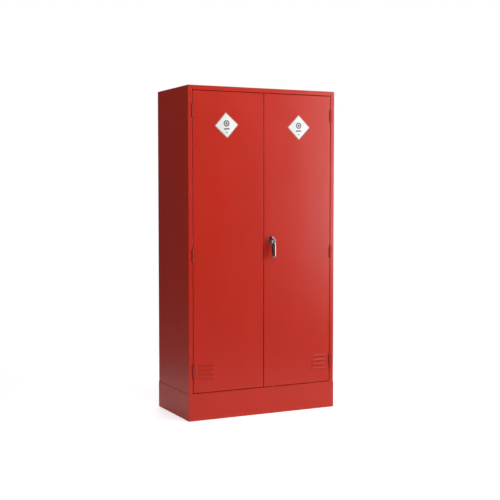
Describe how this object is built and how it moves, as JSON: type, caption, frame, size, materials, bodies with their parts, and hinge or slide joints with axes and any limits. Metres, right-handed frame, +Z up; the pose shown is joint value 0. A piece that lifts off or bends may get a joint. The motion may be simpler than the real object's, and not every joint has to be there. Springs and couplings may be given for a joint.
{
  "type": "chemical storage cabinet",
  "caption": "Tall steel safety cabinet on a plinth with hinged doors, a lever lock with locking rods, louvred vents, spill-tray shelves and a sump for hazardous liquids.",
  "frame": {"origin": "centre of the plinth's footprint, on the floor", "axes": "+X to the right seen from the front, +Y from the doors to the back, +Z up"},
  "size_m": [0.915, 0.4957, 1.83],
  "materials": {
    "red_paint": "gloss powder coat, slight orange peel",
    "plinth_red": "gloss powder coat, slight orange peel",
    "shelf_grey": "satin powder coat",
    "zinc": "zinc plated",
    "chrome": "polished",
    "steel": "plain",
    "nylon": "moulded",
    "black_rubber": "moulded",
    "vinyl": "white vinyl with a plain printed mark"
  },
  "bodies": {
    "carcass": {"plinth": "plinth_red", "top_panel": "red_paint", "top_door_stop": "red_paint", "back_panel": "red_paint", "base_panel": "red_paint", "sump_lip": "red_paint", "door_buffers": "black_rubber", "side_panel_left": "red_paint", "hinge_pins_left": "red_paint", "hinge_frame_leaf_left_top": "red_paint", "hinge_frame_leaf_left_middle": "red_paint", "hinge_frame_leaf_left_bottom": "red_paint", "shelf_upright_left_front": "zinc", "shelf_upright_left_rear": "zinc", "side_panel_right": "red_paint", "hinge_pins_right": "red_paint", "hinge_frame_leaf_right_top": "red_paint", "hinge_frame_leaf_right_middle": "red_paint", "hinge_frame_leaf_right_bottom": "red_paint", "shelf_upright_right_front": "zinc", "shelf_upright_right_rear": "zinc", "shelf_clips_lower": "zinc", "shelf_clips_middle": "zinc", "shelf_clips_upper": "zinc"},
    "left_door": {"door_skin_left": "red_paint", "door_stiffener_left": "red_paint", "label_left": "vinyl", "hinge_door_leaf_left_top": "red_paint", "hinge_door_leaf_left_middle": "red_paint", "hinge_door_leaf_left_bottom": "red_paint", "meeting_strip": "red_paint"},
    "right_door": {"door_skin_right": "red_paint", "door_stiffener_right": "red_paint", "label_right": "vinyl", "hinge_door_leaf_right_top": "red_paint", "hinge_door_leaf_right_middle": "red_paint", "hinge_door_leaf_right_bottom": "red_paint", "handle_rose": "chrome", "rose_screws": "zinc", "lock_backplate": "zinc", "rod_bushes": "nylon", "rod_guides_upper": "nylon", "rod_guides_lower": "nylon"},
    "handle": {"handle_lever": "chrome", "cam_plate": "zinc", "cam_pins": "steel", "cam_spacer": "steel", "latch_tongue": "zinc", "cam_washer": "zinc", "cam_screw": "zinc"},
    "lock_barrel": {"lock_barrel": "chrome"},
    "upper_rod": {"locking_rod_upper": "zinc"},
    "lower_rod": {"locking_rod_lower": "zinc"},
    "upper_shelf": {"shelf_upper": "shelf_grey"},
    "middle_shelf": {"shelf_middle": "shelf_grey"},
    "lower_shelf": {"shelf_lower": "shelf_grey"}
  },
  "joints": [
    {"name": "left_door_swing", "type": "hinge", "parent": "carcass", "child": "left_door", "pos_m": [-0.43025, -0.22725, 0.91], "axis": [0, 0, -1], "range_deg": [0, 110]},
    {"name": "right_door_swing", "type": "hinge", "parent": "carcass", "child": "right_door", "pos_m": [0.43025, -0.22725, 0.91], "axis": [0, 0, 1], "range_deg": [0, 110]},
    {"name": "handle_turn", "type": "hinge", "parent": "right_door", "child": "handle", "pos_m": [0.0475, -0.22675, 0.981], "axis": [0, -1, 0], "range_deg": [0, 90]},
    {"name": "key_turn", "type": "hinge", "parent": "handle", "child": "lock_barrel", "pos_m": [0.0475, -0.26075, 0.981], "axis": [0, -1, 0], "range_deg": [-90, 0]},
    {"name": "upper_rod_slide", "type": "slide", "parent": "right_door", "child": "upper_rod", "axis": [0, 0, -1], "range_m": [0, 0.02264]},
    {"name": "lower_rod_slide", "type": "slide", "parent": "right_door", "child": "lower_rod", "axis": [0, 0, 1], "range_m": [0, 0.02264]},
    {"name": "lower_shelf_lift", "type": "slide", "parent": "carcass", "child": "lower_shelf", "axis": [0, 0, 1], "range_m": [0, 0.1]},
    {"name": "middle_shelf_lift", "type": "slide", "parent": "carcass", "child": "middle_shelf", "axis": [0, 0, 1], "range_m": [0, 0.1]},
    {"name": "upper_shelf_lift", "type": "slide", "parent": "carcass", "child": "upper_shelf", "axis": [0, 0, 1], "range_m": [0, 0.1]}
  ],
  "couplings": [
    {"joint": "upper_rod_slide", "follows": "handle_turn", "m_per_rad": 0.014405},
    {"joint": "lower_rod_slide", "follows": "handle_turn", "m_per_rad": 0.014405}
  ]
}
